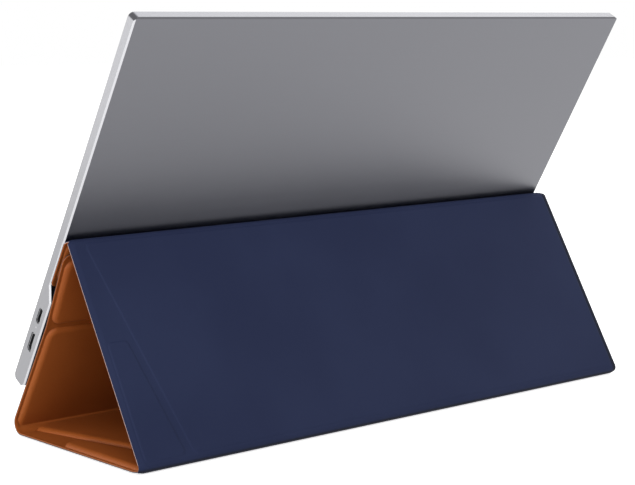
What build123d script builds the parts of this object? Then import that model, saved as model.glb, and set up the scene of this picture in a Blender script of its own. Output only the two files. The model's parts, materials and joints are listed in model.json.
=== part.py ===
from build123d import *

import os
from math import asin, atan2, cos, degrees, hypot, radians, sin, sqrt, tan

# A portable monitor that stands on its own cover, folded into a triangular prism.
# Millimetres and degrees. +Z is up, the screen faces -Y, the side with the ports is +X.
# The origin lies on the floor, in the middle of the whole object's width and depth.

# ---------------------------------------------------------------- monitor sizes
# heights run up the monitor from its bottom edge, depths run back from its front plane
monitor_width = 358.7
monitor_height = 226.15
thin_depth = 5.8  # upper part
bulge_depth = 10.5  # lower part, over the electronics
step_top = 66.5  # height where the slope of the bulge meets the thin part
step_foot = 58.0  # height where that slope meets the bulge's back face
bottom_radius = 4.5
bottom_wall = 1.4
bottom_lip = 1.4  # thickness of the housing's edge that shows in front, below the bezel
corner_radius = 3.0  # of the two upper corners, seen from the front
foot_corner_radius = 1.0  # of the two lower ones
back_chamfer = 0.8
step_radius = 2.0
housing_wall = 1.0
rim_height = 5.5  # how far the front opening stands above the bottom edge
cut_margin = 1.0  # how far a cut starts outside what it cuts
seam_above_step = 0.6  # where the housing's upper and lower shells meet
lap_reach = 3.0  # ledge of the lower shell, under the upper one
lap_thickness = 0.8
lap_gap = 0.05

bezel_recess = 0.2
bezel_depth = 1.0
bezel_clearance = 0.15
bezel_chamfer = 0.5
bezel_corner = 2.0
screen_side_border = 7.25  # from the monitor's edges to the picture
screen_top_border = 9.5
screen_bottom_border = 23.05
screen_overlap = 1.1  # how far the display reaches under the bezel on each side
display_depth = 1.1
backlight_border = 1.6  # how far the backlight reaches past the display
backlight_depth = 1.3
backlight_corner = 3.0

board_front = 6.9  # depth of the circuit boards' front faces
circuit_thickness = 1.0
circuit_edge_gap = 0.6
main_board_width = 156.0
main_board_low = 8.0
main_board_high = 55.0
key_board_width = 42.0
key_board_low = 11.0
key_board_high = 55.0
shield_width = 62.0
shield_height = 30.0
shield_depth = 1.2
shield_wall = 0.25

usb_height = 46.0
usb_length = 9.2
usb_thickness = 3.2
usb_reach = 7.4
video_height = 28.7
video_length = 11.4
video_thickness = 3.2
video_reach = 8.0
video_corner = 1.1
port_wall = 0.3
port_recess = 0.3
port_gap = 0.25
port_back_wall = 1.0
tongue_thickness = 0.7
tongue_setback = 1.0
light_height = 38.4
light_depth = 5.4
light_radius = 0.55
light_length = 4.0
light_gap = 0.05

vent_low = 41.5
vent_count = 4
vent_pitch = 2.3
vent_width = 1.2
vent_length = 14.0
vent_from_side = 9.15  # from the monitor's side to the middle of a slot, on both sides

jack_height = 16.5
jack_radius = 1.75
jack_nose_radius = 2.4
jack_body_height = 6.0
jack_body_length = 12.0
jack_bore_depth = 11.0
jack_gap = 0.2
jack_notch_gap = 0.1

power_height = 47.0
power_length = 10.0
menu_height = 32.0
menu_length = 13.0
button_thickness = 2.6
button_proud = 0.5
button_gap = 0.25
button_flange = 1.2
button_flange_depth = 0.8
button_rest_gap = 0.15
rocker_rest_gap = 0.8
switch_length = 5.0
switch_thickness = 2.4
switch_body = 3.4
switch_plunger_radius = 0.7
switch_plunger = 0.3
button_chamfer = 0.35
switch_rows = (power_height, menu_height + menu_length / 4, menu_height - menu_length / 4)
switch_gap = 0.6

screw_radius = 0.8
screw_head_radius = 1.5
screw_head_depth = 0.7
screw_bite = 0.9
boss_radius = 1.9
screw_gap = 0.05
screw_inset_across = 13.0
screw_inset_up = 4.0
screw_facet_count = 12

cable_width = 30.0
cable_offset = 60.0
cable_thickness = 0.3
cable_top = 34.0
cable_bend_top = 22.0
cable_bend_foot = 15.0
cable_foot = 11.0

magnet_count = 4
magnet_length = 52.0
magnet_height = 14.0
magnet_pitch = 84.0
housing_magnet_depth = 0.7
attach_magnet_row = 19.5  # from the ridge corner
flap_magnet_row = 14.5  # from the flap's free edge

# ---------------------------------------------------------------- cover sizes
cover_width = 364.4
monitor_offset = 2.2  # the cover reaches further past the monitor on the -X side
skin = 0.8  # navy outer layer
lining = 0.8  # tan inner layer
board = 2.0  # stiffener between them
attach_board = 1.1

bottom_length = 127.8  # between the extended outer faces, corner to corner
slope_length = 131.7
slope_angle = 60.5  # of the slope panel above the floor
ridge_on_monitor = 100.2  # height up the monitor where the ridge's corner stands
front_corner_standoff = 0.5  # of the front corner behind the bulge's back face
attach_gap = 0.1
attach_clearance = 0.5  # between the attach panel's edge and the bulge's step
kink_from_corner = 76.0
kink_standoff = 2.1  # of the front panel behind the bulge's back face, at the kink
flap_length = 44.0
flap_gap = 0.3

front_radius = 7.0  # outer radii of the folds
back_radius = 4.0
ridge_radius = 3.5
fold_gap = 0.3
kink_gap = 0.6

bottom_corner = 3.5  # rounded corners of the panels' outlines
ridge_corner = 3.5
front_corner = 0.8
attach_corner = 3.0
flap_corner = 5.0
kink_corner = 1.0

side_margin = 4.6  # from the cover's side edge to a board
board_corner = 3.0
attach_board_margin = 5.0
board_setback = 1.0  # from the end of a fold's curve to a board
pad_chamfer = 1.0

front_board_high = 4.0
flap_board_low = 4.0
flap_board_tip = 6.0

# the diagonal fold of the two long panels, measured from the +X edge of the cover
diagonal_at_tip = 6.0
diagonal_at_back = 33.0
diagonal_gap = 6.0
gusset_reach = 70.0  # length of the small triangular board, from the back corner
gusset_corner = 2.0

# ---------------------------------------------------------------- side view
# points are (y, z) from the cover's front corner, before the shift to the origin


def along(point, angle, distance):
    """The point at a distance from another, in a direction given in degrees from +Y."""
    return (
        point[0] + distance * cos(radians(angle)),
        point[1] + distance * sin(radians(angle)),
    )


def heading(a, b):
    """The direction from one point to another, in degrees from +Y."""
    return degrees(atan2(b[1] - a[1], b[0] - a[0]))


front_point = (0.0, 0.0)
back_point = (bottom_length, 0.0)
ridge_point = along(back_point, 180 - slope_angle, slope_length)

# the monitor leans so that its back clears the ridge and its bulge clears the front corner
attach_plane = thin_depth + attach_gap
front_plane = bulge_depth + front_corner_standoff
prism_front = hypot(ridge_point[0] - front_point[0], ridge_point[1] - front_point[1])
monitor_angle = heading(front_point, ridge_point) - degrees(
    asin((front_plane - attach_plane) / prism_front)
)
back_angle = monitor_angle - 90  # direction from the screen to the monitor's back
monitor_point = along(
    along(ridge_point, monitor_angle, -ridge_on_monitor), back_angle, -attach_plane
)


def on_monitor(height, depth):
    """The side view's point at a height and a depth on the monitor."""
    return along(along(monitor_point, monitor_angle, height), back_angle, depth)


front_reach_up = prism_front * cos(radians(heading(front_point, ridge_point) - monitor_angle))
front_height = ridge_on_monitor - front_reach_up
kink_depth = bulge_depth + kink_standoff
kink_height = front_height + sqrt(kink_from_corner**2 - (kink_depth - front_plane) ** 2)
attach_depth = skin + attach_board + lining
tip_depth = attach_plane + attach_depth + flap_gap
tip_height = kink_height + sqrt(flap_length**2 - (kink_depth - tip_depth) ** 2)
kink_point = on_monitor(kink_height, kink_depth)
tip_point = on_monitor(tip_height, tip_depth)
attach_length = ridge_on_monitor - step_top - attach_clearance

front_angle = heading(front_point, kink_point)
ridge_angle = 180 - slope_angle - monitor_angle

# the object's middle in depth: from the front fold to the top of the monitor's back
front_reach = front_radius / tan(radians(front_angle / 2)) - front_radius
back_reach = on_monitor(monitor_height - back_chamfer, thin_depth)[0]
depth_shift = -(front_reach + back_reach) / 2

# ---------------------------------------------------------------- planes


def strip_plane(a, b):
    """The outer face of a panel that runs from a to b: local y along it, z into the prism."""
    run = heading(a, b)
    return Plane(
        origin=(0, a[0] + depth_shift, a[1]),
        x_dir=(1, 0, 0),
        z_dir=(0, -sin(radians(run)), cos(radians(run))),
    )


bottom_plane = strip_plane(front_point, back_point)
slope_plane = strip_plane(back_point, ridge_point)
attach_face = strip_plane(ridge_point, on_monitor(0, attach_plane))
front_face = strip_plane(kink_point, front_point)
flap_plane = strip_plane(tip_point, kink_point)

screen_plane = Plane(
    origin=(monitor_offset, monitor_point[0] + depth_shift, monitor_point[1]),
    x_dir=(1, 0, 0),
    z_dir=(0, -cos(radians(back_angle)), -sin(radians(back_angle))),
)


def at_depth(depth):
    """The monitor's plane at a depth behind its front: local x across, y up it."""
    return screen_plane.offset(-depth)


def monitor_side(x):
    """The monitor's side view at x from its middle: local x is height, local y is -depth."""
    return Plane(
        origin=screen_plane.from_local_coords((x, 0, 0)),
        x_dir=screen_plane.y_dir,
        z_dir=(1, 0, 0),
    )


# ---------------------------------------------------------------- cover panels
half_cover = cover_width / 2
lining_depth = skin + lining


def fold_run(fold):
    """From a fold's extended corner to the end of its curve."""
    radius, angle = fold
    return radius / tan(radians(angle / 2))


def fold_end(origin, sign, fold, depth):
    """Where a layer leaves its straight run at one end, and the arc there, if it has one.

    fold is (radius, inner angle), or the length cut off a free end.
    """
    if not isinstance(fold, tuple):
        return Vector(origin + sign * fold, depth), None
    radius, angle = fold
    middle = (origin + sign * fold_run(fold), radius)
    sweep = 90 - angle / 2 - degrees(fold_gap / 2 / radius)
    arc = CenterArc(middle, radius - depth, 270, -sign * sweep)
    return arc @ 0, arc


def fold_inset(fold):
    """How far the outer face of a panel stops short of its extended corner."""
    if not isinstance(fold, tuple):
        return fold
    radius, angle = fold
    return fold_run(fold) - radius * cos(radians(angle / 2))


def layer(panel, low, high):
    """One layer of a panel as wide as the cover, from depth low to depth high."""
    plane, length, start, end, start_corner, end_corner = panel
    side = Plane((-half_cover, plane.origin.Y, plane.origin.Z), plane.y_dir, (1, 0, 0))
    with BuildSketch(side) as section:
        with BuildLine():
            tips = []
            for depth in (low, high):
                first, first_arc = fold_end(0, 1, start, depth)
                last, last_arc = fold_end(length, -1, end, depth)
                Line(first, last)
                tips.append(first_arc @ 1 if first_arc else first)
                tips.append(last_arc @ 1 if last_arc else last)
            Line(tips[0], tips[2])
            Line(tips[1], tips[3])
        make_face()
    extrude(section.sketch, amount=cover_width)
    near, far = fold_inset(start), length - fold_inset(end)
    with BuildSketch(plane.offset(-cut_margin)) as outline:
        with Locations((0, (near + far) / 2)):
            Rectangle(cover_width, far - near)
        fillet(outline.vertices().group_by(Axis.Y)[0], start_corner)
        fillet(outline.vertices().group_by(Axis.Y)[-1], end_corner)
    extrude(outline.sketch, amount=front_radius + cut_margin, mode=Mode.INTERSECT)


def plain_board(low, high, corner=board_corner):
    """The outline of a stiffener between two distances along a panel."""
    with Locations((0, (low + high) / 2)):
        RectangleRounded(cover_width - 2 * side_margin, high - low, corner)


def diagonal_x(distance):
    """Where the diagonal fold crosses a long panel, at a distance from the back corner."""
    share = distance / bottom_length
    return half_cover - diagonal_at_back - (diagonal_at_tip - diagonal_at_back) * share


def long_board(near, far, turned=0):
    """The large stiffener of a long panel, between two distances from the back corner.

    turned is the panel's length where its own measure runs towards that corner.
    """
    rows = [abs(turned - d) for d in (near, far)]
    left = side_margin - half_cover
    slant = [diagonal_x(d) - diagonal_gap / 2 for d in (near, far)]
    Polygon((left, rows[0]), (slant[0], rows[0]), (slant[1], rows[1]), (left, rows[1]), align=None)
    fillet(vertices(), board_corner)


def gusset(near, turned=0):
    """The small triangular stiffener between the diagonal fold and the cover's edge."""
    rows = [abs(turned - d) for d in (near, gusset_reach)]
    edge = half_cover - side_margin
    slant = [diagonal_x(d) + diagonal_gap / 2 for d in (near, gusset_reach)]
    Polygon((slant[0], rows[0]), (edge, rows[0]), (edge, rows[1]), (slant[1], rows[1]), align=None)
    fillet(vertices(), gusset_corner)


def slab(plane, draw, thickness, grow=0.0, bevel=0.0):
    """A flat piece drawn on a plane, grown all round, with its far edge bevelled."""
    with BuildPart() as piece:
        with BuildSketch(plane):
            draw()
            if grow:
                offset(amount=grow)
        extrude(amount=thickness)
        if bevel:
            top = piece.faces().sort_by(Axis(plane.origin, plane.z_dir))[-1]
            chamfer(top.edges(), bevel)
    return piece.part


# each panel: plane, length, fold or cut at its start and end, corner radii there
front_fold = (front_radius, front_angle)
back_fold = (back_radius, slope_angle)
ridge_fold = (ridge_radius, ridge_angle)
kink_cut = kink_gap / 2

bottom_panel = (bottom_plane, bottom_length, front_fold, back_fold, front_corner, bottom_corner)
slope_panel = (slope_plane, slope_length, back_fold, ridge_fold, bottom_corner, ridge_corner)
attach_panel = (attach_face, attach_length, ridge_fold, 0, ridge_corner, attach_corner)
front_panel = (front_face, kink_from_corner, kink_cut, front_fold, kink_corner, front_corner)
flap_panel = (flap_plane, flap_length, 0, kink_cut, flap_corner, kink_corner)


def attach_board_outline():
    """The attach panel's thin stiffener."""
    plain_board(fold_run(ridge_fold) + board_setback, attach_length - attach_board_margin)


def bottom_board_outlines():
    """The bottom panel's large and small stiffeners, measured from the front corner."""
    near = fold_run(back_fold) + board_setback
    far = bottom_length - fold_run(front_fold) - board_setback
    return [
        lambda: long_board(near, far, bottom_length),
        lambda: gusset(near, bottom_length),
    ]


def slope_board_outlines():
    """The slope panel's large and small stiffeners, measured from the back corner."""
    near = fold_run(back_fold) + board_setback
    far = slope_length - fold_run(ridge_fold) - board_setback
    return [lambda: long_board(near, far), lambda: gusset(near)]


def front_board_outline():
    """The front panel's stiffener, measured from the kink."""
    low_end = kink_from_corner - fold_run(front_fold) - board_setback
    plain_board(front_board_high, low_end)


def flap_board_outline():
    """The flap's stiffener, measured from its free edge."""
    plain_board(flap_board_tip, flap_length - flap_board_low)


def magnet_row(centre, mode=Mode.ADD):
    """The outlines of a row of flat bar magnets across a panel or the monitor."""
    with Locations((0, centre)):
        with GridLocations(magnet_pitch, magnet_height, magnet_count, 1):
            Rectangle(magnet_length, magnet_height, mode=mode)


def finish(part, name):
    """Names a finished piece and writes it."""
    part.label = name
    export_step(part, f"parts/{name}.step")


os.makedirs("parts", exist_ok=True)

cover = {
    "bottom": (bottom_panel, bottom_board_outlines(), board),
    "slope": (slope_panel, slope_board_outlines(), board),
    "attach": (attach_panel, [attach_board_outline], attach_board),
    "front": (front_panel, [front_board_outline], board),
    "flap": (flap_panel, [flap_board_outline], board),
}

# magnets lie in the attach panel's board and in the flap's, over each other when folded
magnet_rows = {"attach": attach_magnet_row, "flap": flap_magnet_row}

for name, (panel, outlines, thickness) in cover.items():
    plane = panel[0]
    with BuildPart() as panel_skin:
        layer(panel, 0, skin)
    finish(panel_skin.part, f"{name}_skin")

    bed = plane.offset(skin)
    pads = [slab(bed, draw, thickness + lining, lining, pad_chamfer) for draw in outlines]
    pockets = [slab(bed, draw, thickness) for draw in outlines]
    with BuildPart() as panel_lining:
        layer(panel, skin, lining_depth)
        add(pads)
        add(pockets, mode=Mode.SUBTRACT)
    finish(panel_lining.part, f"{name}_lining")

    for draw, kind in zip(outlines, ("board", "gusset_board")):
        with BuildPart() as panel_board:
            with BuildSketch(plane.offset(skin)):
                draw()
                if name in magnet_rows:
                    magnet_row(magnet_rows[name], Mode.SUBTRACT)
            extrude(amount=thickness)
        finish(panel_board.part, f"{name}_{kind}")

    if name in magnet_rows:
        with BuildPart() as panel_magnets:
            with BuildSketch(plane.offset(skin)):
                magnet_row(magnet_rows[name])
            extrude(amount=thickness)
        finish(panel_magnets.part, f"{name}_magnets")

# ---------------------------------------------------------------- monitor
side = monitor_width / 2
inner_side = side - housing_wall
inner_top = monitor_height - housing_wall
inner_thin = thin_depth - housing_wall
inner_bulge = bulge_depth - housing_wall
circuit_back = board_front + circuit_thickness


def hk(height, depth):
    """A point of the monitor's side view."""
    return (height, -depth)


def housing_profile(inset):
    """The housing's side view, with its back drawn in by an inset for the chamfered ends."""
    shift = inset * (hypot(step_top - step_foot, bulge_depth - thin_depth)
                     - (step_top - step_foot)) / (bulge_depth - thin_depth)
    thin, bulge = thin_depth - inset, bulge_depth - inset
    outline = Polygon(
        hk(0, 0),
        hk(monitor_height, 0),
        hk(monitor_height, thin),
        hk(step_top - shift, thin),
        hk(step_foot - shift, bulge),
        hk(0, bulge),
        align=None,
    )
    corners = outline.vertices().sort_by(Axis.X)
    fillet(corners[:2], bottom_radius - inset / 2)
    fillet(corners[2:4], step_radius)
    chamfer(vertices().sort_by_distance(hk(monitor_height, thin))[0], back_chamfer)


def video_outline(length, thickness):
    """A socket's outline with its two corners cut towards the screen."""
    Rectangle(length, thickness)
    chamfer(vertices().group_by(Axis.Y)[-1], video_corner)


def cut_side(x, height, depth, draw, length, thickness=0.0):
    """Cuts an outline through the side wall at x."""
    with BuildSketch(monitor_side(x)) as hole:
        with Locations(hk(height, depth)):
            draw(*(s for s in (length, thickness) if s))
    extrude(hole.sketch, amount=2 * housing_wall, both=True, mode=Mode.SUBTRACT)


# sockets stand on the main board, their long way up the side: name, height, outline, sizes
ports = (
    ("usb_port", usb_height, SlotOverall, usb_length, usb_thickness, usb_reach),
    ("video_port", video_height, video_outline, video_length, video_thickness, video_reach),
)
# keys on the other side: name, height, length, room behind the wall
keys = (
    ("power_button", power_height, power_length, button_rest_gap),
    ("menu_rocker", menu_height, menu_length, rocker_rest_gap),
)
button_depth = board_front - switch_thickness / 2
jack_depth = inner_bulge - jack_body_height / 2 - jack_gap

# circuit boards: name, middle, width, lowest and highest edge
main_board_middle = inner_side - circuit_edge_gap - main_board_width / 2
key_back = rocker_rest_gap + button_flange_depth - inner_side
key_board_middle = key_back + switch_gap + key_board_width / 2
circuit_boards = (
    ("main_board", main_board_middle, main_board_width, main_board_low, main_board_high),
    ("key_board", key_board_middle, key_board_width, key_board_low, key_board_high),
)
screws = []
for name, middle, width, low, high in circuit_boards:
    pitch = (width - 2 * screw_inset_across, high - low - 2 * screw_inset_up)
    corners = GridLocations(*pitch, 2, 2)
    screws += [Location((middle, (low + high) / 2, 0)) * corner for corner in corners]

with BuildPart() as housing:
    with BuildSketch(monitor_side(back_chamfer - side)):
        housing_profile(0)
    extrude(amount=monitor_width - 2 * back_chamfer)
    for end in (-1, 1):
        with BuildSketch(monitor_side(end * (side - back_chamfer))):
            housing_profile(0)
        with BuildSketch(monitor_side(end * side)):
            housing_profile(back_chamfer)
        loft(ruled=True)
    with BuildSketch(screen_plane):
        with Locations((0, monitor_height / 2)):
            face = Rectangle(monitor_width, monitor_height)
        fillet(face.vertices().group_by(Axis.Y)[0], foot_corner_radius)
        fillet(vertices().group_by(Axis.Y)[-1], corner_radius)
    extrude(amount=-bulge_depth, mode=Mode.INTERSECT)
    with BuildSketch(monitor_side(-inner_side)):
        Polygon(
            hk(rim_height, -cut_margin),
            hk(inner_top, -cut_margin),
            hk(inner_top, inner_thin),
            hk(step_top - housing_wall, inner_thin),
            hk(step_foot - housing_wall, inner_bulge),
            hk(bottom_wall, inner_bulge),
            hk(bottom_wall, bottom_lip),
            hk(rim_height, bottom_lip),
            align=None,
        )
    extrude(amount=2 * inner_side, mode=Mode.SUBTRACT)
    with BuildSketch(at_depth(circuit_back)):
        with Locations(*screws):
            RegularPolygon(boss_radius, screw_facet_count)
    extrude(amount=circuit_back - inner_bulge)
    with BuildSketch(at_depth(circuit_back)):
        with Locations(*screws):
            RegularPolygon(screw_radius + screw_gap, screw_facet_count)
    extrude(amount=circuit_back - inner_bulge, mode=Mode.SUBTRACT)
    for name, height, draw, length, thickness, reach in ports:
        depth = board_front - thickness / 2
        cut_side(side, height, depth, draw, length + 2 * port_gap, thickness + 2 * port_gap)
    for name, height, length, room in keys:
        wide, thick = length + 2 * button_gap, button_thickness + 2 * button_gap
        cut_side(-side, height, button_depth, SlotOverall, wide, thick)
    cut_side(side, light_height, light_depth, Circle, light_radius + light_gap)
    cut_side(-side, jack_height, jack_depth, Circle, jack_nose_radius + jack_gap)
    vent_x = side - vent_from_side
    vents = [(x, vent_low + vent_pitch * n) for n in range(vent_count) for x in (-vent_x, vent_x)]
    with BuildSketch(at_depth(inner_bulge - cut_margin)):
        with Locations(*vents):
            Rectangle(vent_length, vent_width)
    extrude(amount=-housing_wall - 2 * cut_margin, mode=Mode.SUBTRACT)

# the housing is two shells that meet just above the step, with a ledge under the joint
seam_height = step_top + seam_above_step
seam_plane = Plane(
    origin=screen_plane.from_local_coords((0, seam_height, 0)),
    x_dir=(1, 0, 0),
    z_dir=screen_plane.y_dir,
)
with BuildPart() as rear_housing:
    add(split(housing.part, seam_plane, keep=Keep.BOTTOM))
    with BuildSketch(monitor_side(lap_gap - inner_side)):
        Polygon(
            hk(step_top - housing_wall, inner_thin),
            hk(seam_height, inner_thin),
            hk(seam_height, inner_thin - lap_gap),
            hk(seam_height + lap_reach, inner_thin - lap_gap),
            hk(seam_height + lap_reach, inner_thin - lap_thickness),
            hk(step_top - housing_wall, inner_thin - lap_thickness),
            align=None,
        )
    extrude(amount=2 * (inner_side - lap_gap))
finish(rear_housing.part, "rear_housing")
finish(split(housing.part, seam_plane, keep=Keep.TOP), "upper_housing")

opening_height = inner_top - rim_height
screen_width = monitor_width - 2 * screen_side_border
screen_height = monitor_height - screen_top_border - screen_bottom_border
screen_middle = monitor_height - screen_top_border - screen_height / 2
with BuildPart() as front_bezel:
    with BuildSketch(at_depth(bezel_recess)):
        with Locations((0, rim_height + opening_height / 2)):
            gap = 2 * bezel_clearance
            RectangleRounded(2 * inner_side - gap, opening_height - gap, bezel_corner)
        with Locations((0, screen_middle)):
            Rectangle(screen_width, screen_height, mode=Mode.SUBTRACT)
    extrude(amount=-bezel_depth)
    rim = front_bezel.faces().sort_by(Axis(screen_plane.origin, screen_plane.z_dir))[-1]
    chamfer(rim.inner_wires()[0].edges(), bezel_chamfer)
finish(front_bezel.part, "front_bezel")

display_front = bezel_recess + bezel_depth
backlight_front = display_front + display_depth
backlight_back = backlight_front + backlight_depth
display_width = screen_width + 2 * screen_overlap
display_height = screen_height + 2 * screen_overlap
with BuildPart() as display_panel:
    with BuildSketch(at_depth(display_front)):
        with Locations((0, screen_middle)):
            Rectangle(display_width, display_height)
    extrude(amount=-display_depth)
finish(display_panel.part, "display_panel")

with BuildPart() as backlight_unit:
    with BuildSketch(at_depth(backlight_front)):
        with Locations((0, screen_middle)):
            wide = display_width + 2 * backlight_border
            RectangleRounded(wide, display_height + 2 * backlight_border, backlight_corner)
    extrude(amount=-backlight_depth)
finish(backlight_unit.part, "backlight_unit")

for name, middle, width, low, high in circuit_boards:
    with BuildPart() as circuit_board:
        with BuildSketch(at_depth(board_front)):
            with Locations((middle, (low + high) / 2)):
                Rectangle(width, high - low)
            with Locations(*screws):
                RegularPolygon(screw_radius + screw_gap, screw_facet_count, mode=Mode.SUBTRACT)
            with Locations((jack_notch_gap + jack_gap - inner_side, jack_height)):
                notch = jack_body_height + 2 * jack_notch_gap
                Rectangle(2 * jack_body_length, notch, mode=Mode.SUBTRACT)
        extrude(amount=-circuit_thickness)
    finish(circuit_board.part, name)

with BuildPart() as board_screws:
    with BuildSketch(at_depth(board_front)):
        with Locations(*screws):
            RegularPolygon(screw_head_radius, screw_facet_count)
    extrude(amount=screw_head_depth)
    with BuildSketch(at_depth(board_front)):
        with Locations(*screws):
            RegularPolygon(screw_radius, screw_facet_count)
    extrude(amount=-circuit_thickness - screw_bite)
finish(board_screws.part, "board_screws")

with BuildPart() as shield_can:
    with BuildSketch(at_depth(circuit_back)):
        with Locations((main_board_middle, (main_board_low + main_board_high) / 2)):
            Rectangle(shield_width, shield_height)
    extrude(amount=-shield_depth)
    mouth = shield_can.faces().sort_by(Axis(screen_plane.origin, screen_plane.z_dir))[-1]
    offset(amount=-shield_wall, openings=mouth)
finish(shield_can.part, "shield_can")

for name, height, draw, length, thickness, reach in ports:
    depth = board_front - thickness / 2
    inner = (length - 2 * port_wall, thickness - 2 * port_wall)
    with BuildPart() as port:
        with BuildSketch(monitor_side(side - port_recess)):
            with Locations(hk(height, depth)):
                draw(length, thickness)
        extrude(amount=-reach)
        with BuildSketch(monitor_side(side - port_recess)):
            with Locations(hk(height, depth)):
                draw(*inner)
        extrude(amount=port_back_wall - reach, mode=Mode.SUBTRACT)
        with BuildSketch(monitor_side(side - port_recess - tongue_setback)):
            with Locations(hk(height, depth)):
                Rectangle(inner[0] - inner[1], tongue_thickness)
        extrude(amount=tongue_setback - reach)
    finish(port.part, name)

with BuildPart() as status_light:
    with BuildSketch(monitor_side(side)):
        with Locations(hk(light_height, light_depth)):
            Circle(light_radius)
    extrude(amount=-light_length)
finish(status_light.part, "status_light")

with BuildPart() as housing_magnets:
    with BuildSketch(at_depth(inner_thin)):
        magnet_row(ridge_on_monitor - attach_magnet_row)
    extrude(amount=housing_magnet_depth)
finish(housing_magnets.part, "housing_magnets")

# a flat cable, down the backlight's back and over to the front of the main board
with BuildPart() as display_cable:
    with BuildSketch(monitor_side(cable_offset)):
        with BuildLine():
            upper, lower = backlight_back, board_front - cable_thickness
            Polyline(
                hk(cable_top, upper),
                hk(cable_bend_top, upper),
                hk(cable_bend_foot, lower),
                hk(cable_foot, lower),
                hk(cable_foot, lower + cable_thickness),
                hk(cable_bend_foot, lower + cable_thickness),
                hk(cable_bend_top, upper + cable_thickness),
                hk(cable_top, upper + cable_thickness),
                close=True,
            )
        make_face()
    extrude(amount=cable_width)
finish(display_cable.part, "display_cable")

for name, height, length, room in keys:
    with BuildPart() as key:
        with BuildSketch(monitor_side(-side - button_proud)):
            with Locations(hk(height, button_depth)):
                SlotOverall(length, button_thickness)
        extrude(amount=button_proud + housing_wall + room)
        chamfer(key.faces().sort_by(Axis.X)[0].edges(), button_chamfer)
        with BuildSketch(monitor_side(-inner_side + room)):
            with Locations(hk(height, button_depth)):
                flange = 2 * button_flange
                Rectangle(length + flange, button_thickness + button_flange)
        extrude(amount=button_flange_depth)
    finish(key.part, name)

with BuildPart() as key_switches:
    with BuildSketch(monitor_side(key_back + switch_gap)):
        with Locations(*[hk(height, board_front - switch_thickness / 2) for height in switch_rows]):
            Rectangle(switch_length, switch_thickness)
    extrude(amount=switch_body)
    with BuildSketch(monitor_side(key_back + switch_gap)):
        with Locations(*[hk(height, board_front - switch_thickness / 2) for height in switch_rows]):
            Circle(switch_plunger_radius)
    extrude(amount=-switch_plunger)
finish(key_switches.part, "key_switches")

with BuildPart() as earphone_jack:
    with BuildSketch(monitor_side(jack_gap - inner_side)):
        with Locations(hk(jack_height, jack_depth)):
            Rectangle(jack_body_height, jack_body_height)
    extrude(amount=jack_body_length)
    with BuildSketch(monitor_side(port_recess - side)):
        with Locations(hk(jack_height, jack_depth)):
            Circle(jack_nose_radius)
    extrude(amount=housing_wall + jack_gap)
    with BuildSketch(monitor_side(port_recess - side)):
        with Locations(hk(jack_height, jack_depth)):
            Circle(jack_radius)
    extrude(amount=jack_bore_depth, mode=Mode.SUBTRACT)
finish(earphone_jack.part, "earphone_jack")
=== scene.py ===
"""Looks of a portable monitor that stands on its own cover, folded into a triangular prism.

The cover is one strip: flap, front, bottom, slope and attach panel, joined by four folds. Its
layers are numpy surfaces laid along that strip. Sizes are in millimetres, turned into metres
where a mesh is made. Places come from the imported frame.
"""

import json
import logging
import math
from dataclasses import dataclass, field
from enum import Enum
from typing import Any, Optional, Sequence, Union

import bmesh
import bpy
import numpy as np
from mathutils import Matrix, Vector

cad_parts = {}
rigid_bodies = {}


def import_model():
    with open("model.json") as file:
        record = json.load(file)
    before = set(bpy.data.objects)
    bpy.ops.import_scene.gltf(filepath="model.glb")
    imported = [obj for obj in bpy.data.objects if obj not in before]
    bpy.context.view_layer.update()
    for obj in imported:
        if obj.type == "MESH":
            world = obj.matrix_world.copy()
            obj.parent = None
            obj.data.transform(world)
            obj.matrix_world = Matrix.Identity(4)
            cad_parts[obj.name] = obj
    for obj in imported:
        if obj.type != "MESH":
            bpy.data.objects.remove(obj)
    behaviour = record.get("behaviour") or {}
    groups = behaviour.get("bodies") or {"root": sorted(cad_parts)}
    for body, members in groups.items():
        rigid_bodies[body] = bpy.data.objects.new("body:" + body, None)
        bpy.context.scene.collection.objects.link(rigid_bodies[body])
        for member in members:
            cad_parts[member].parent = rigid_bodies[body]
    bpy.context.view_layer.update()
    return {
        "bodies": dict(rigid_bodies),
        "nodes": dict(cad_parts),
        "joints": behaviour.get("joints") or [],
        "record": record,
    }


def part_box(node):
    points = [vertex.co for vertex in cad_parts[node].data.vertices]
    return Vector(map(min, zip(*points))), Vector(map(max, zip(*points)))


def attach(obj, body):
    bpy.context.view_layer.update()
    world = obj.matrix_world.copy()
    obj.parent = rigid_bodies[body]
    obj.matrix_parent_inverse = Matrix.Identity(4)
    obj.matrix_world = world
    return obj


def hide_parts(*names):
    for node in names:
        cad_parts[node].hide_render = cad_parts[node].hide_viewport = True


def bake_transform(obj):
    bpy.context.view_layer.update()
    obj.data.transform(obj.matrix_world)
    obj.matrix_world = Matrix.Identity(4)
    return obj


LOG = logging.getLogger("monitor_scene")
MM = 0.001
MERGE_GAP = 0.002  # points closer than this become one, in millimetres
SLIVER = 0.001  # shorter edges than this are dissolved
SHARP_DEGREES = 28  # edges that fold more than this stay crisp
Array = np.ndarray
Colour = tuple[float, float, float]


# ---------------------------------------------------------------- shader expressions


class Expr:
    """One value socket; each operator adds the Math node that it stands for."""

    def __init__(self, graph: "Graph", socket: bpy.types.NodeSocket) -> None:
        """Keeps the graph and the socket.

        Args:
            graph: the material's graph, which makes the nodes.
            socket: the output socket that holds the value.
        """
        self.graph = graph
        self.socket = socket

    def __add__(self, other: "Number") -> "Expr":
        """The sum."""
        return self.graph.maths("ADD", self, other)

    def __sub__(self, other: "Number") -> "Expr":
        """The difference."""
        return self.graph.maths("SUBTRACT", self, other)

    def __rsub__(self, other: "Number") -> "Expr":
        """The difference, with this value taken from a number."""
        return self.graph.maths("SUBTRACT", other, self)

    def __mul__(self, other: "Number") -> "Expr":
        """The product."""
        return self.graph.maths("MULTIPLY", self, other)

    __radd__ = __add__
    __rmul__ = __mul__


Number = Union[Expr, float]


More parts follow.
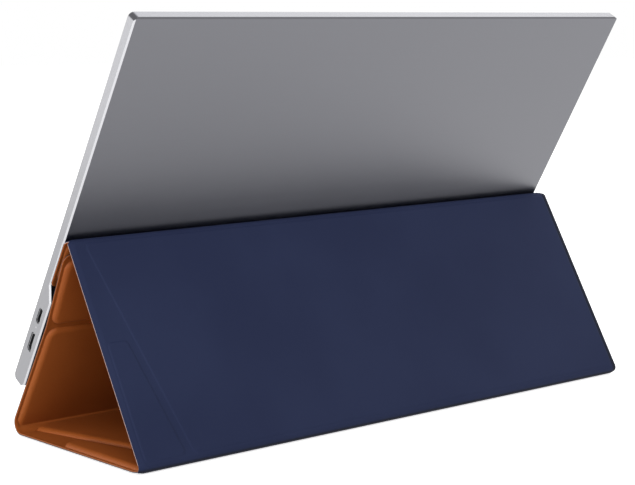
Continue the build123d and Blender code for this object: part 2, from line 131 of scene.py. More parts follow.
class Graph:
    """A material's node tree with its shader."""

    def __init__(self, name: str) -> None:
        """Makes an empty material with one principled shader.

        Args:
            name: the material's name.
        """
        self.material = bpy.data.materials.new(name)
        self.material.use_nodes = True
        self.tree = self.material.node_tree
        self.tree.nodes.clear()
        output = self.tree.nodes.new("ShaderNodeOutputMaterial")
        self.shader = self.tree.nodes.new("ShaderNodeBsdfPrincipled")
        self.tree.links.new(self.shader.outputs["BSDF"], output.inputs["Surface"])

    def node(self, kind: str, settings: dict[str, Any], inputs: dict[Any, Any]) -> bpy.types.Node:
        """Makes any node.

        Args:
            kind: the node's type, such as "ShaderNodeTexNoise".
            settings: its own settings, and "stops" for a ramp's positions and colours.
            inputs: values or links of its sockets, by name or number.

        Returns:
            The node.
        """
        made = self.tree.nodes.new(kind)
        for key, value in settings.items():
            if key == "stops":
                self._set_stops(made.color_ramp, value)
            else:
                setattr(made, key, value)
        for key, value in inputs.items():
            self.feed(made.inputs[key], value)
        return made

    @staticmethod
    def _set_stops(ramp: bpy.types.ColorRamp, stops: Sequence[tuple[float, Colour]]) -> None:
        """Gives a ramp its stops.

        Args:
            ramp: the colour ramp.
            stops: pairs of a position from 0 to 1 and a colour.
        """
        while len(ramp.elements) < len(stops):
            ramp.elements.new(0.5)
        for element, (position, colour) in zip(ramp.elements, stops):
            element.position = position
            element.color = (*colour, 1.0)

    def feed(self, socket: bpy.types.NodeSocket, value: Any) -> None:
        """Links or sets one input socket.

        Args:
            socket: the input.
            value: an expression, an output socket, a number or a tuple.
        """
        if isinstance(value, Expr):
            value = value.socket
        if isinstance(value, bpy.types.NodeSocket):
            self.tree.links.new(value, socket)
        elif isinstance(value, tuple) and socket.type == "RGBA":
            socket.default_value = (*value, 1.0)
        else:
            socket.default_value = value

    def maths(self, operation: str, *values: Number) -> Expr:
        """A Math node's result for an operation on one to three values."""
        made = self.node("ShaderNodeMath", {"operation": operation}, dict(enumerate(values)))
        return Expr(self, made.outputs[0])

    def place(self) -> bpy.types.NodeSocket:
        """The object's coordinates, in metres."""
        return self.node("ShaderNodeTexCoord", {}, {}).outputs["Object"]

    def axes(self) -> list[Expr]:
        """The object's X, Y and Z coordinates, in metres."""
        split = self.node("ShaderNodeSeparateXYZ", {}, {0: self.place()})
        return [Expr(self, output) for output in split.outputs]

    def facing(self, direction: Colour) -> Expr:
        """How far the surface faces a direction of the object.

        Args:
            direction: a unit vector on the object's axes.

        Returns:
            The normal's share along it, from -1 to 1.
        """
        normal = self.node("ShaderNodeTexCoord", {}, {}).outputs["Normal"]
        settings = {"operation": "DOT_PRODUCT"}
        made = self.node("ShaderNodeVectorMath", settings, {0: normal, 1: direction})
        return Expr(self, made.outputs["Value"])

    def noise(
        self, scale: float, detail: float, rough: float = 0.5, stretch: Optional[Colour] = None
    ) -> Expr:
        """Noise from 0 to 1 on the object's coordinates.

        Args:
            scale: waves per metre.
            detail: octaves of finer noise.
            rough: how strong the finer octaves are.
            stretch: scale factors along X, Y and Z, if any.

        Returns:
            The noise value.
        """
        where = self.place()
        if stretch is not None:
            scaled = self.node("ShaderNodeMapping", {}, {"Vector": where, "Scale": stretch})
            where = scaled.outputs[0]
        sizes = {"Vector": where, "Scale": scale, "Detail": detail, "Roughness": rough}
        return Expr(self, self.node("ShaderNodeTexNoise", {}, sizes).outputs[0])

    def cells(self, scale: float) -> Expr:
        """Distance to the nearest cell's middle, for pebbled grain, on object coordinates."""
        made = self.node("ShaderNodeTexVoronoi", {}, {"Vector": self.place(), "Scale": scale})
        return Expr(self, made.outputs["Distance"])

    def ramp(self, value: Expr, low: float, high: float) -> Expr:
        """A value spread over 0 to 1 and clamped, with soft ends.

        Args:
            value: the value.
            low: where it becomes 0.
            high: where it becomes 1.

        Returns:
            The spread value.
        """
        inputs = {"Value": value, "From Min": low, "From Max": high}
        made = self.node("ShaderNodeMapRange", {"interpolation_type": "SMOOTHSTEP"}, inputs)
        return Expr(self, made.outputs[0])

    def blend(self, share: Number, first: Any, second: Any) -> bpy.types.NodeSocket:
        """A colour between two.

        Args:
            share: 0 for the first, 1 for the second.
            first: a colour or a colour socket.
            second: the other one.

        Returns:
            The mixed colour's socket.
        """
        settings = {"data_type": "RGBA"}
        made = self.node("ShaderNodeMix", settings, {0: share, 6: first, 7: second})
        return made.outputs[2]

    def bump(self, height: Expr, depth: float, strength: float = 1.0) -> None:
        """Raises the surface by a height value.

        Args:
            height: from 0 to 1.
            depth: the height of 1, in metres.
            strength: how strongly it shows.
        """
        inputs = {"Height": height, "Distance": depth, "Strength": strength}
        made = self.node("ShaderNodeBump", {}, inputs)
        self.tree.links.new(made.outputs[0], self.shader.inputs["Normal"])

    def shade(self, **values: Any) -> bpy.types.Material:
        """Sets the shader's sockets and returns the material.

        Args:
            values: by socket name, with underscores for spaces.

        Returns:
            The finished material.
        """
        for key, value in values.items():
            self.feed(self.shader.inputs[key.replace("_", " ")], value)
        return self.material


# ---------------------------------------------------------------- finishes


@dataclass(frozen=True)
class Leatherette:
    """Synthetic leather: pebbled grain, soft unevenness and a slow drift of colour."""

    name: str
    colour: Colour
    worn: Colour
    roughness: float
    grain_per_metre: float = 1500.0
    grain_depth: float = 0.00003
    gloss: float = 0.2
    drift_per_metre: float = 14.0
    soft_per_metre: float = 60.0
    speck_per_metre: float = 900.0
    painted_shade: float = 0.0  # painted shade: how much darker the -X edge and the back fold's foot are, as if unlit
    shaded_edge_band: tuple[float, float] = (0.1781, 0.1790)  # where that edge's painted shade lies, across, in metres
    shaded_foot_back: tuple[float, float] = (0.0552, 0.0566)  # where the painted shade at the foot begins, along Y
    shaded_foot_top: tuple[float, float] = (0.0020, 0.0034)  # and where it fades out, along Z

    def build(self) -> bpy.types.Material:
        """Makes the material.

        Returns:
            A material whose colour drifts between two tones and whose bump is the grain.
        """
        graph = Graph(self.name)
        drift = graph.ramp(graph.noise(self.drift_per_metre, 4.0), 0.3, 0.7)
        speck = graph.noise(self.speck_per_metre, 3.0)
        grain = graph.cells(self.grain_per_metre)
        soft = graph.noise(self.soft_per_metre, 3.0)
        tone = drift * 0.6 + speck * 0.4
        graph.bump(grain * 0.5 + speck * 0.3 + soft * 1.5, self.grain_depth, 0.6)
        colour = graph.blend(tone, self.colour, self.worn)
        if self.painted_shade > 0:
            # painted shade: the -X edge and the back fold's underside near the floor turn away
            # from the light, so their colour is darkened
            x, y, z = graph.axes()
            shaded_foot = graph.ramp(y, *self.shaded_foot_back) * (1 - graph.ramp(z, *self.shaded_foot_top))
            edge = graph.ramp(x * -1.0, *self.shaded_edge_band)
            painted_shade_mask = graph.maths("MAXIMUM", edge, shaded_foot)
            painted_shade_colour = tuple(c * (1 - self.painted_shade) for c in self.colour)
            colour = graph.blend(painted_shade_mask, colour, painted_shade_colour)
        return graph.shade(
            Base_Color=colour,
            Roughness=self.roughness + (speck - 0.5) * 0.12,
            Specular_IOR_Level=self.gloss,
        )


@dataclass(frozen=True)
class BlastedMetal:
    """Anodised metal: fine blasted grain, faint long drawn lines and painted light on its edges.

    back and up are the directions of the back face and of the upper side. The sides are painted
    paler, as a painted highlight; the polished bevel beside the back gets a brighter painted
    highlight where it faces aside, and painted shade darkens the bevel above it and the upper
    corners.
    A face counts as turned towards a direction as the cosine rises through facing_range.
    """

    name: str
    colour: Colour
    roughness: float
    grain_depth: float = 0.000008
    grain_per_metre: float = 2600.0
    cloud_per_metre: float = 9.0
    drawn: Colour = (6.0, 900.0, 900.0)  # waves of the drawn lines per metre, along each axis
    # painted highlight: the sides' colour, paler than the back as if lit from the side
    side: Colour = (0.25, 0.25, 0.262)
    # painted highlight on the polished bevel beside the back, where it faces aside
    cut: Colour = (0.50, 0.50, 0.52)
    # painted shade on the bevel above the back and in the upper corners
    painted_shade_colour: Colour = (0.11, 0.11, 0.12)
    cut_roughness: float = 0.22
    back: Optional[Colour] = None
    up: Colour = (0.0, 0.0, 1.0)
    facing_range: tuple[float, float] = (0.35, 0.45)
    back_range: tuple[float, float] = (0.86, 0.94)  # past it a face is the back, not its bevel
    lit_side_range: tuple[float, float] = (0.8, 0.95)  # past it a face is a side, painted paler as if lit
    shaded_corner_range: tuple[float, float] = (0.22, 0.42)  # where painted shade falls in the upper corners: of the cosines aside and up, multiplied

    def build(self) -> bpy.types.Material:
        """Makes the material.

        Returns:
            A metal whose roughness and bump vary with the grain.
        """
        graph = Graph(self.name)
        fine = graph.noise(self.grain_per_metre, 2.0)
        lines = graph.noise(1.0, 3.0, 0.6, self.drawn)
        cloud = graph.noise(self.cloud_per_metre, 2.0)
        paler = tuple(min(1.0, c * 1.06 + 0.004) for c in self.colour)
        graph.bump(fine * 0.6 + lines * 0.4, self.grain_depth, 0.4)
        tone = graph.blend(lines * 0.5 + cloud * 0.5, self.colour, paler)
        rough = self.roughness + (lines - 0.5) * 0.08 + (cloud - 0.5) * 0.05
        if self.back is not None:
            aside = graph.maths("ABSOLUTE", graph.facing((1.0, 0.0, 0.0)))
            upward = graph.facing(self.up)
            towards_back = graph.facing(self.back)
            bevel = graph.ramp(towards_back, *self.facing_range)
            bevel = bevel * (1 - graph.ramp(towards_back, *self.back_range))
            # painted highlight where the polished bevel faces aside
            painted_highlight_mask = bevel * graph.ramp(aside, *self.facing_range)
            # painted shade in the upper corners and on the bevel above the back
            corner = graph.ramp(aside * upward, *self.shaded_corner_range)
            painted_shade_top = bevel * graph.ramp(upward, *self.facing_range)
            sunk = graph.maths("MAXIMUM", painted_shade_top, corner)
            # painted light: the lit sides paler, the bevel's highlight brighter, the shaded top
            # bevel and corners darker
            tone = graph.blend(graph.ramp(aside, *self.lit_side_range), tone, self.side)
            tone = graph.blend(sunk, graph.blend(painted_highlight_mask, tone, self.cut), self.painted_shade_colour)
            rough = rough * (1 - painted_highlight_mask) + self.cut_roughness * painted_highlight_mask
        return graph.shade(Base_Color=tone, Metallic=1.0, Roughness=rough)


@dataclass(frozen=True)
class Moulded:
    """Plastic or lacquer with a fine spark-eroded texture."""

    name: str
    colour: Colour
    roughness: float
    grain_per_metre: float = 1800.0
    grain_depth: float = 0.000015
    cloud_per_metre: float = 20.0
    coat: float = 0.0
    metal: float = 0.0
    gloss: float = 0.5

    def build(self) -> bpy.types.Material:
        """Makes the material.

        Returns:
            A material with fine grain in its bump and roughness.
        """
        graph = Graph(self.name)
        fine = graph.noise(self.grain_per_metre, 2.0)
        cloud = graph.noise(self.cloud_per_metre, 2.0)
        paler = tuple(min(1.0, c * 1.25 + 0.004) for c in self.colour)
        graph.bump(fine, self.grain_depth, 0.35)
        return graph.shade(
            Base_Color=graph.blend(cloud * 0.6 + fine * 0.3, self.colour, paler),
            Metallic=self.metal,
            Roughness=self.roughness + (fine - 0.5) * 0.1,
            Coat_Weight=self.coat,
            Coat_Roughness=0.08,
            Specular_IOR_Level=self.gloss,
        )


class Finish(Enum):
    """The finishes of this object, each made once."""

    NAVY = Leatherette(
        name="navy_leatherette_finish",
        colour=(0.0128, 0.0178, 0.0475),
        worn=(0.0172, 0.0236, 0.0585),
        roughness=0.62,
        gloss=0.08,
        # painted shade along the -X edge and at the back fold's foot
        painted_shade=0.65,
    )
    TAN = Leatherette(
        name="tan_lining_finish",
        colour=(0.23, 0.056, 0.010),
        worn=(0.30, 0.082, 0.017),
        roughness=0.5,
        grain_per_metre=1300.0,
        gloss=0.14,
    )
    CUT_EDGE = Moulded("cut_edge_finish", (0.26, 0.20, 0.19), 0.8)
    TAN_EDGE = Moulded("tan_edge_finish", (0.09, 0.035, 0.015), 0.8)
    HOUSING = BlastedMetal(
        name="housing_metal_finish",
        colour=(0.150, 0.151, 0.164),
        roughness=0.31,
        # back and up place the painted highlight and painted shade on the housing's bevels
        back=(0.0, 0.857, -0.515),
        up=(0.0, 0.515, 0.857),
    )
    KEY = BlastedMetal("key_metal_finish", (0.30, 0.305, 0.32), 0.34)
    BEZEL = Moulded("bezel_finish", (0.010, 0.010, 0.011), 0.45, gloss=0.25)
    DISPLAY = Moulded("display_finish", (0.008, 0.0085, 0.011), 0.3, 3000.0, gloss=0.3)
    BACKLIGHT = Moulded("backlight_finish", (0.75, 0.75, 0.76), 0.35)
    CIRCUIT = Moulded("circuit_board_finish", (0.02, 0.10, 0.045), 0.4, 600.0)
    STEEL = BlastedMetal("steel_finish", (0.58, 0.58, 0.60), 0.3)
    SOCKET = Moulded("port_shell_finish", (0.30, 0.30, 0.31), 0.3, metal=1.0)
    LIGHT = Moulded("light_finish", (0.36, 0.36, 0.37), 0.4, coat=0.2)
    BLACK = Moulded("black_plastic_finish", (0.015, 0.015, 0.015), 0.5)
    FILM = Moulded("cable_film_finish", (0.40, 0.20, 0.04), 0.35)
    BOARD = Moulded("stiffener_finish", (0.32, 0.29, 0.25), 0.85, 300.0)
    MAGNET = BlastedMetal("magnet_finish", (0.45, 0.45, 0.47), 0.3)

    def material(self) -> bpy.types.Material:
        """This finish's material, made at its first use."""
        return bpy.data.materials.get(self.value.name) or self.value.build()


# ---------------------------------------------------------------- mesh helpers


def as_mesh(
    name: str, points: Array, faces: Sequence[Sequence[int]], finish: Finish
) -> bpy.types.Object:
    """Makes a smooth-shaded object whose folded edges stay crisp.

    Args:
        name: the piece's name.
        points: its vertices in millimetres, one row each.
        faces: vertex numbers of each face.
        finish: the surface's finish.

    Returns:
        The object, at the origin, in the scene.
    """
    mesh = bpy.data.meshes.new(name)
    mesh.from_pydata((points * MM).tolist(), [], faces)
    work = bmesh.new()
    work.from_mesh(mesh)
    bmesh.ops.remove_doubles(work, verts=work.verts, dist=MERGE_GAP * MM)
    bmesh.ops.dissolve_degenerate(work, edges=work.edges, dist=SLIVER * MM)
    bmesh.ops.recalc_face_normals(work, faces=work.faces)
    work.to_mesh(mesh)
    work.free()
    mesh.shade_smooth()
    mesh.set_sharp_from_angle(angle=math.radians(SHARP_DEGREES))
    mesh.materials.append(finish.material())
    piece = bpy.data.objects.new(name, mesh)
    bpy.context.scene.collection.objects.link(piece)
    return piece


def between(low: Array, high: Array) -> tuple[Array, list[list[int]]]:
    """A closed slab between two grids of the same shape.

    Point (i, j) of each grid is joined to its neighbours, and a wall round the rim joins the
    grids.

    Args:
        low: one side's points, rows by columns by 3.
        high: the other side's points.

    Returns:
        The points of both sides, and the faces.
    """
    rows, columns = low.shape[:2]
    index = np.arange(rows * columns).reshape(rows, columns)
    cell = [index[:-1, :-1], index[:-1, 1:], index[1:, 1:], index[1:, :-1]]
    quads = np.stack([c.ravel() for c in cell], axis=1)
    rim = np.concatenate([index[0, :-1], index[:-1, -1], index[-1, :0:-1], index[:0:-1, 0]])
    after = np.roll(rim, -1)
    shift = rows * columns
    wall = np.stack([rim, after, after + shift, rim + shift], axis=1)
    faces = np.concatenate([quads[:, ::-1], quads + shift, wall])
    return np.concatenate([low.reshape(-1, 3), high.reshape(-1, 3)]), faces.tolist()


def spread(anchors: Array, step: float) -> Array:
    """Fills the gaps between columns of anchor positions with evenly spaced ones.

    Args:
        anchors: positions, rows by anchors, rising along each row.
        step: the widest gap that stays, in millimetres.

    Returns:
        The positions with the fills, rows by columns.
    """
    kept = [anchors[:, :1]]
    for before, after in zip(anchors.T[:-1], anchors.T[1:]):
        count = max(1, math.ceil(float(np.mean(after - before)) / step))
        shares = np.arange(1, count + 1) / count
        kept.append(before[:, None] + (after - before)[:, None] * shares[None, :])
    return np.concatenate(kept, axis=1)


def smooth(value: Array) -> Array:
    """The soft step 3t² - 2t³ of a value clamped to 0..1."""
    t = np.clip(value, 0.0, 1.0)
    return t * t * (3 - 2 * t)


# ---------------------------------------------------------------- cover


@dataclass(frozen=True)
class CoverSizes:
    """Sizes of the cover's layers, folds and boards, in millimetres."""

    skin: float = 0.8
    lining: float = 0.8
    core: float = 0.4  # pale cut edge between the two leathers
    core_depth: float = 0.6
    margin: float = 4.6
    setback: float = 1.0
    board: float = 2.0
    attach_board: float = 1.1
    flap_corner: float = 5.0  # radius of the strip's corners in plan, at the flap's free end
    bottom_corner: float = 3.5  # at the back fold
    ridge_corner: float = 3.5  # at the ridge
    attach_corner: float = 3.0  # at the attach panel's free end
    board_corner: float = 3.0
    gusset_corner: float = 2.0
    diagonal_at_tip: float = 6.0
    diagonal_at_back: float = 33.0
    diagonal_gap: float = 6.0
    gusset_reach: float = 70.0
    pad_reach: float = 1.8  # how far a pad's swell reaches beyond its board, but at a diagonal
    pad_width: float = 3.0  # of a pad's rounded edge
    crown: float = 0.22  # how much higher a pad is in its middle
    crown_run: float = 9.0  # how far in from its edge a pad rises by most of its crown
    emboss: float = 0.32  # how far the skin sinks beyond the boards' edges
    emboss_width: float = 1.1
    tuck: float = 0.55  # how far the side edges turn inwards
    tuck_width: float = 3.4
    tuck_inside: float = 0.5  # the lining's share of that turn
    edge_round: float = 0.3
    crease: float = 1.12  # depth of the lining in the crease of the front fold
    least_swell: float = 0.4  # a lining raised more than this runs on straight into a fold
    front_puff: float = 9.0  # how far the swells reach into the front fold
    gusset_puff: float = 4.0  # how far the small swell reaches past its board
    across_step: float = 7.0  # widest gap between a panel's mesh columns
    along_step: float = 5.0  # widest gap between its rows


SIZES = CoverSizes()
FOLD_RADII = {"kink": -12.0, "front_fold": 7.0, "back_fold": 4.0, "ridge": 3.5}
FOLD_STEP_DEGREES = 3
LEAST_COSINE = 0.1  # keeps a swell's straight run finite on a steep bend

# where mesh lines stand close together, in millimetres
EDGE_STEPS = np.array([0.0, 0.08, 0.2, 0.35, 0.7, 1.3, 2.2, 3.1])  # in from a cut edge
SIDE_STEPS = np.array([-3.4, -2.2, -1.4, -0.8, -0.2, 0.3, 0.6, 0.9, 1.2])  # out from a board
END_STEPS = np.array([-1.2, -0.9, -0.6, -0.3, 0.2, 0.8, 1.4, 2.2, 3.4])  # in from its end


@dataclass
class Pad:
    """A stiffener under the leather, as a rounded four-sided outline on its panel.

    corners are (x, distance along the panel), in order round the outline.
    """

    corners: Array
    radius: float

    def distance(self, x: Array, s: Array) -> Array:
        """Signed distance to the rounded outline, negative inside.

        The outline is the corners' polygon moved in by the radius, and the distance to that
        polygon, less the radius, rounds its corners.

        Args:
            x: positions across.
            s: positions along the panel.

        Returns:
            Distances in millimetres.
        """
        start = self.corners
        run = np.roll(start, -1, axis=0) - start
        run = run / np.linalg.norm(run, axis=1, keepdims=True)
        normal = np.stack([run[:, 1], -run[:, 0]], axis=1)
        if np.sum(normal[0] * (start[0] - start.mean(axis=0))) < 0:
            normal = -normal
        offset = np.sum(normal * start, axis=1) - self.radius
        inner = []
        for k in range(len(start)):
            pair = np.array([normal[k - 1], normal[k]])
            inner.append(np.linalg.solve(pair, np.array([offset[k - 1], offset[k]])))
        corner = np.array(inner)
        point = np.stack([x, s], axis=-1)
        inside = np.full(x.shape, -1e9)
        nearest = np.full(x.shape, 1e9)
        for k in range(len(corner)):
            inside = np.maximum(inside, point @ normal[k] - offset[k])
            edge = corner[(k + 1) % len(corner)] - corner[k]
            share = np.clip((point - corner[k]) @ edge / (edge @ edge), 0.0, 1.0)
            gap = point - corner[k] - share[..., None] * edge
            nearest = np.minimum(nearest, np.linalg.norm(gap, axis=-1))
        return np.where(inside > 0, nearest, inside) - self.radius


@dataclass
class Panel:
    """One flat length of the strip: its outer face runs from start along heading.

    start and heading are (y, z); inward points into the prism. near and far are the lengths
    from the extended corners where the flat run begins and ends, and near_inset and far_inset
    those where the strip's round corners are narrowest. thickness is the board's.
    """

    name: str
    body: str
    node: str
    thickness: float
    start_corner: float
    end_corner: float
    heading: Array = field(default_factory=lambda: np.zeros(2))
    start: Array = field(default_factory=lambda: np.zeros(2))
    length: float = 0.0
    near: float = 0.0
    far: float = 0.0
    near_inset: float = 0.0
    far_inset: float = 0.0
    half: float = 0.0
    pads: list[Pad] = field(default_factory=list)
    swells: list[Pad] = field(default_factory=list)

    @property
    def inward(self) -> Array:
        """The normal that points into the prism."""
        return np.array([-self.heading[1], self.heading[0]])

    def point(self, s: Array, depth: Array) -> Array:
        """Side-view points at distances along the outer face and depths below it."""
        return self.start + s[..., None] * self.heading + depth[..., None] * self.inward

    def half_width(self, s: Array) -> Array:
        """Half the cover's width at distances along the panel, narrower at its round corners.

        A corner of radius R takes R - sqrt(R² - (R - d)²) off at a distance d from the end.

        Args:
            s: distances along the panel.

        Returns:
            Half widths in millimetres.
        """
        width = np.full(s.shape, self.half)
        ends = (
            (s - self.near_inset, self.start_corner),
            (self.length - self.far_inset - s, self.end_corner),
        )
        for gap, radius in ends:
            short = radius - np.clip(gap, 0.0, radius)
            width = width - radius + np.sqrt(np.maximum(radius**2 - short**2, 0.0))
        return width

    def board_distance(self, x: Array, s: Array) -> Array:
        """Distance outside the nearest board's edge, negative over a board."""
        return np.minimum.reduce([pad.distance(x, s) for pad in self.pads])

    def edge_distance(self, x: Array, s: Array, half: Array) -> Array:
        """Distance inside the nearest cut edge: the sides, and the ends with no fold.

        Args:
            x: positions across.
            s: distances along the panel.
            half: half the width at each.

        Returns:
            Distances in millimetres.
        """
        gap = half - np.abs(x)
        if self.near == 0:
            gap = np.minimum(gap, s - self.near_inset)
        if self.far == 0:
            gap = np.minimum(gap, self.length - self.far_inset - s)
        return gap

    @staticmethod
    def tuck(x: Array, half: Array) -> Array:
        """How far the whole strip turns inwards near its side edges."""
        return SIZES.tuck * (1 - smooth((half - np.abs(x)) / SIZES.tuck_width))

    def rounding(self, x: Array, s: Array, half: Array) -> Array:
        """How far the rounded cut edges fall away, by a quarter circle."""
        gap = np.clip(self.edge_distance(x, s, half) / SIZES.edge_round, 0.0, 1.0)
        return SIZES.edge_round * (1 - np.sqrt(1 - (1 - gap) ** 2))

    def outer(self, x: Array, s: Array, half: Array) -> Array:
        """The skin's depth: sunk beyond the boards, turned in and rounded at the edges."""
        sunk = SIZES.emboss * smooth(self.board_distance(x, s) / SIZES.emboss_width)
        return self.tuck(x, half) + sunk + self.rounding(x, s, half)

    def middle(self, x: Array, s: Array, half: Array) -> Array:
        """The depth where skin and lining meet."""
        return self.tuck(x, half) + SIZES.core_depth

    def inner(self, x: Array, s: Array, half: Array) -> Array:
        """The lining's depth: a quarter-ellipse swell over each board, and a slight crown.

        At a distance d in from its edge, a swell is sqrt(1 - (1 - d / pad_width)²) of the board's
        thickness, and its crown 1 - exp(-d / crown_run) of the crown's height. The edge lies a
        lining's thickness outside the swell's outline.

        Args:
            x: positions across.
            s: distances along the panel.
            half: half the width at each.

        Returns:
            Depths below the outer face.
        """
        tucked = self.tuck(x, half) * SIZES.tuck_inside
        base = SIZES.skin + SIZES.lining + tucked - self.rounding(x, s, half)
        over = SIZES.lining - np.minimum.reduce([pad.distance(x, s) for pad in self.swells])
        swell = np.sqrt(1 - (1 - np.clip(over / SIZES.pad_width, 0.0, 1.0)) ** 2)
        crown = SIZES.crown * (1 - np.exp(-np.clip(over, 0.0, None) / SIZES.crown_run))
        return base + self.thickness * swell + crown

    def columns(self, s: Array) -> Array:
        """Positions across, close together at the edges and the boards' sides.

        Args:
            s: the rows' distances along the panel.

        Returns:
            Positions, rows by columns.
        """
        anchors = [np.full(s.shape, -self.half + step) for step in EDGE_STEPS]
        for pad in self.pads + self.swells:
            low, high = pad.corners[[0, 3]], pad.corners[[1, 2]]
            for line, outward in ((low, -1.0), (high, 1.0)):
                slant = (line[1, 0] - line[0, 0]) / (line[1, 1] - line[0, 1])
                at = line[0, 0] + (s - line[0, 1]) * slant
                anchors += [at + outward * step for step in SIDE_STEPS]
        anchors += [np.full(s.shape, self.half - step) for step in EDGE_STEPS]
        placed = np.sort(np.stack(anchors, axis=1), axis=1)
        return spread(placed, SIZES.across_step) * (self.half_width(s) / self.half)[:, None]

    def rows(self) -> Array:
        """Places of the mesh's rows, close together at the boards' ends and free edges.

        Returns:
            Distances along the panel, over its flat run.
        """
        first, last = self.near, self.length - self.far
        marks = [first, last]
        if self.near == 0:
            marks += list(first + EDGE_STEPS)
        if self.far == 0:
            marks += list(last - EDGE_STEPS)
        for pad in self.pads + self.swells:
            low, high = pad.corners[:, 1].min(), pad.corners[:, 1].max()
            marks += list(low + END_STEPS) + list(high - END_STEPS)
        inside = [m for m in marks if first <= m <= last]
        placed = np.unique(np.round(inside, 3))
        return spread(placed[None, :], SIZES.along_step)[0]


@dataclass
class Fold:
    """The bend between two panels: an arc of a radius about a centre.

    A point turns by an angle from the first panel's end, up to turn. run is what the bend takes
    off each panel's flat length. radius and turn are negative where the strip bends away from
    the prism.
    """

    name: str
    before: Panel
    after: Panel
    radius: float
    turn: float = 0.0
    run: float = 0.0
    low_corner: bool = False  # the corner is cut at the bend's start and not in its middle

    def point(self, angle: Array, depth: Array) -> Array:
        """Side-view points round the bend.

        They are centre - n (radius - depth), where n is the inward normal turned by the angle.

        Args:
            angle: angles from the bend's start.
            depth: depths below the outer face.

        Returns:
            Points as (y, z).
        """
        flat = self.before.length - self.run
        first = self.before.start + flat * self.before.heading
        centre = first + self.radius * self.before.inward
        cosine, sine = np.cos(angle), np.sin(angle)
        y, z = self.before.inward
        normal = np.stack([cosine * y - sine * z, sine * y + cosine * z], axis=-1)
        return centre - normal * (self.radius - depth)[..., None]

    def unrolled(self, angle: Array) -> tuple[Array, Array]:
        """Where points of the bend stand over the two panels' outer faces.

        Args:
            angle: angles from the bend's start.

        Returns:
            Distances along the first and along the second panel.
        """
        ahead = self.before.length - self.run + self.radius * np.sin(angle)
        behind = self.run - self.radius * np.sin(self.turn - angle)
        return ahead, behind

    def mixed(self, depth: str, x: Array, angle: Array) -> Array:
        """A depth function of the nearer panel, named by its method.

        Inside a bend of radius r, a swell of depth d runs straight on, at r - (r - d) / cos a,
        until it meets the lining round the bend.

        Args:
            depth: "outer", "middle" or "inner".
            x: positions across.
            angle: angles from the bend's start.

        Returns:
            Depths below the outer face.
        """
        ahead, behind = self.unrolled(angle)
        half = self.half_width(angle)
        first = getattr(self.before, depth)(x, ahead, half)
        second = getattr(self.after, depth)(x, behind, half)
        if depth == "inner" and self.radius > 0:
            first = self._straight(first, angle)
            second = self._straight(second, self.turn - angle)
        return np.where(np.abs(angle) < abs(self.turn) / 2, first, second)

    def _straight(self, depth: Array, angle: Array) -> Array:
        """A swell's depth where it runs straight on, down to the thin crease.

        Args:
            depth: the swell's depth at its panel's end.
            angle: angles from that end.

        Returns:
            Depths below the outer face.
        """
        cosine = np.maximum(np.cos(angle), LEAST_COSINE)
        ahead = self.radius - (self.radius - depth) / cosine
        swollen = depth > SIZES.skin + SIZES.lining + SIZES.least_swell
        return np.where(swollen, np.maximum(ahead, SIZES.crease), depth)

    def half_width(self, angle: Array) -> Array:
        """Half the strip's width round the bend.

        A low corner of radius R takes R - sqrt(R² - (R - d)²) off at an arc length d.

        Args:
            angle: angles from the bend's start.

        Returns:
            Half widths in millimetres.
        """
        if self.low_corner:
            radius = self.before.end_corner
            short = radius - np.clip(self.radius * angle, 0.0, radius)
            return self.before.half - radius + np.sqrt(np.maximum(radius**2 - short**2, 0.0))
        ahead, behind = self.unrolled(angle)
        nearer = np.abs(angle) < abs(self.turn) / 2
        return np.where(nearer, self.before.half_width(ahead), self.after.half_width(behind))


class LayerKind(Enum):
    """The strip's layers: the names of the two depths that bound each, and what each adds."""

    SKIN = ("outer", "middle", 0.0, 0.0)
    CORE = ("middle", "middle", 0.0, SIZES.core)
    LINING = ("middle", "inner", SIZES.core, 0.0)


